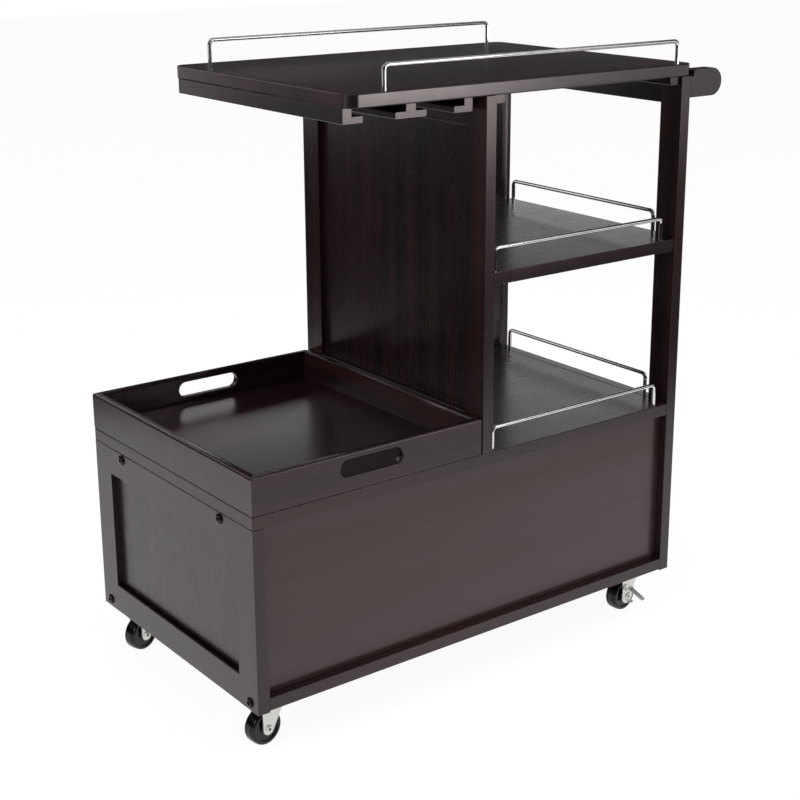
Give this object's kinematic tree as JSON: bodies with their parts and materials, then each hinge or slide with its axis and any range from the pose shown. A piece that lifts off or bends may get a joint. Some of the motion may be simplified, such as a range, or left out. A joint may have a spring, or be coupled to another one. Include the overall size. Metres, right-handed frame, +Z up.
{
  "type": "serving cart",
  "caption": "Serving cart on locking swivel casters: closed base box, lift-off tray, open shelf tower, stemware rails under the top, rod galleries and an end grip.",
  "frame": {"origin": "on the floor, under the middle of the whole cart", "axes": "+X along the cart to the grip end, +Y from the front to the back, +Z up"},
  "size_m": [0.82, 0.431, 0.8835],
  "materials": {
    "espresso_wood": "dark espresso stain under satin lacquer, on veneered boards",
    "chrome": "polished chrome plate on bent steel rod",
    "zinc_plated_steel": "bright zinc plate on pressed steel",
    "black_wheel": "hard black plastic, lightly polished",
    "black_bolt": "dark bronze plated steel bolt",
    "beech_dowel": "raw fluted beech"
  },
  "bodies": {
    "root": {"left_front_stile": "espresso_wood", "left_back_stile": "espresso_wood", "left_top_rail": "espresso_wood", "left_bottom_rail": "espresso_wood", "left_panel": "espresso_wood", "right_front_stile": "espresso_wood", "right_back_stile": "espresso_wood", "right_top_rail": "espresso_wood", "right_middle_rail": "espresso_wood", "right_bottom_rail": "espresso_wood", "right_panel": "espresso_wood", "partition_front_stile": "espresso_wood", "partition_back_stile": "espresso_wood", "partition_top_rail": "espresso_wood", "partition_bottom_rail": "espresso_wood", "partition_panel": "espresso_wood", "base_board": "espresso_wood", "front_panel": "espresso_wood", "back_panel": "espresso_wood", "deck_rails": "espresso_wood", "deck_board": "espresso_wood", "middle_shelf": "espresso_wood", "tabletop": "espresso_wood", "top_cleats": "espresso_wood", "left_glass_rail": "espresso_wood", "middle_glass_rail": "espresso_wood", "right_glass_rail": "espresso_wood", "table_galleries": "chrome", "middle_side_galleries": "chrome", "middle_end_gallery": "chrome", "lower_side_galleries": "chrome", "lower_end_gallery": "chrome", "front_bracket": "espresso_wood", "back_bracket": "espresso_wood", "handle_grip": "espresso_wood", "caster_plates": "zinc_plated_steel", "frame_bolts": "black_bolt", "caster_screws": "zinc_plated_steel", "dowels": "beech_dowel"},
    "tray": {"tray_floor": "espresso_wood", "tray_front_wall": "espresso_wood", "tray_back_wall": "espresso_wood", "tray_left_wall": "espresso_wood", "tray_right_wall": "espresso_wood"},
    "front_left_caster": {"front_left_fork": "zinc_plated_steel", "front_left_axle": "zinc_plated_steel"},
    "front_left_wheel_body": {"front_left_wheel": "black_wheel"},
    "back_left_caster": {"back_left_fork": "zinc_plated_steel", "back_left_axle": "zinc_plated_steel"},
    "back_left_wheel_body": {"back_left_wheel": "black_wheel"},
    "front_right_caster": {"front_right_fork": "zinc_plated_steel", "front_right_axle": "zinc_plated_steel"},
    "front_right_wheel_body": {"front_right_wheel": "black_wheel"},
    "front_right_brake_body": {"front_right_brake": "zinc_plated_steel"},
    "back_right_caster": {"back_right_fork": "zinc_plated_steel", "back_right_axle": "zinc_plated_steel"},
    "back_right_wheel_body": {"back_right_wheel": "black_wheel"},
    "back_right_brake_body": {"back_right_brake": "zinc_plated_steel"}
  },
  "joints": [
    {"name": "tray_lift", "type": "slide", "parent": "root", "child": "tray", "axis": [0, 0, 1], "range_m": [0, 0.2]},
    {"name": "front_left_swivel", "type": "hinge", "parent": "root", "child": "front_left_caster", "pos_m": [-0.3565, -0.172, 0.062], "axis": [0, 0, 1], "continuous": true},
    {"name": "front_left_roll", "type": "hinge", "parent": "front_left_caster", "child": "front_left_wheel_body", "pos_m": [-0.37727, -0.1751, 0.025], "axis": [-0.1478, 0.989, 0], "continuous": true},
    {"name": "back_left_swivel", "type": "hinge", "parent": "root", "child": "back_left_caster", "pos_m": [-0.3565, 0.172, 0.062], "axis": [0, 0, 1], "continuous": true},
    {"name": "back_left_roll", "type": "hinge", "parent": "back_left_caster", "child": "back_left_wheel_body", "pos_m": [-0.37663, 0.16604, 0.025], "axis": [-0.284, 0.9588, 0], "continuous": true},
    {"name": "front_right_swivel", "type": "hinge", "parent": "root", "child": "front_right_caster", "pos_m": [0.304, -0.172, 0.062], "axis": [0, 0, 1], "continuous": true},
    {"name": "front_right_roll", "type": "hinge", "parent": "front_right_caster", "child": "front_right_wheel_body", "pos_m": [0.28318, -0.17474, 0.025], "axis": [-0.1305, 0.9914, 0], "continuous": true},
    {"name": "front_right_brake_press", "type": "hinge", "parent": "front_right_caster", "child": "front_right_brake_body", "pos_m": [0.28318, -0.17474, 0.025], "axis": [-0.1305, 0.9914, 0], "range_deg": [0, 20]},
    {"name": "back_right_swivel", "type": "hinge", "parent": "root", "child": "back_right_caster", "pos_m": [0.304, 0.172, 0.062], "axis": [0, 0, 1], "continuous": true},
    {"name": "back_right_roll", "type": "hinge", "parent": "back_right_caster", "child": "back_right_wheel_body", "pos_m": [0.28346, 0.16763, 0.025], "axis": [-0.2079, 0.9781, 0], "continuous": true},
    {"name": "back_right_brake_press", "type": "hinge", "parent": "back_right_caster", "child": "back_right_brake_body", "pos_m": [0.28346, 0.16763, 0.025], "axis": [-0.2079, 0.9781, 0], "range_deg": [0, 20]}
  ]
}
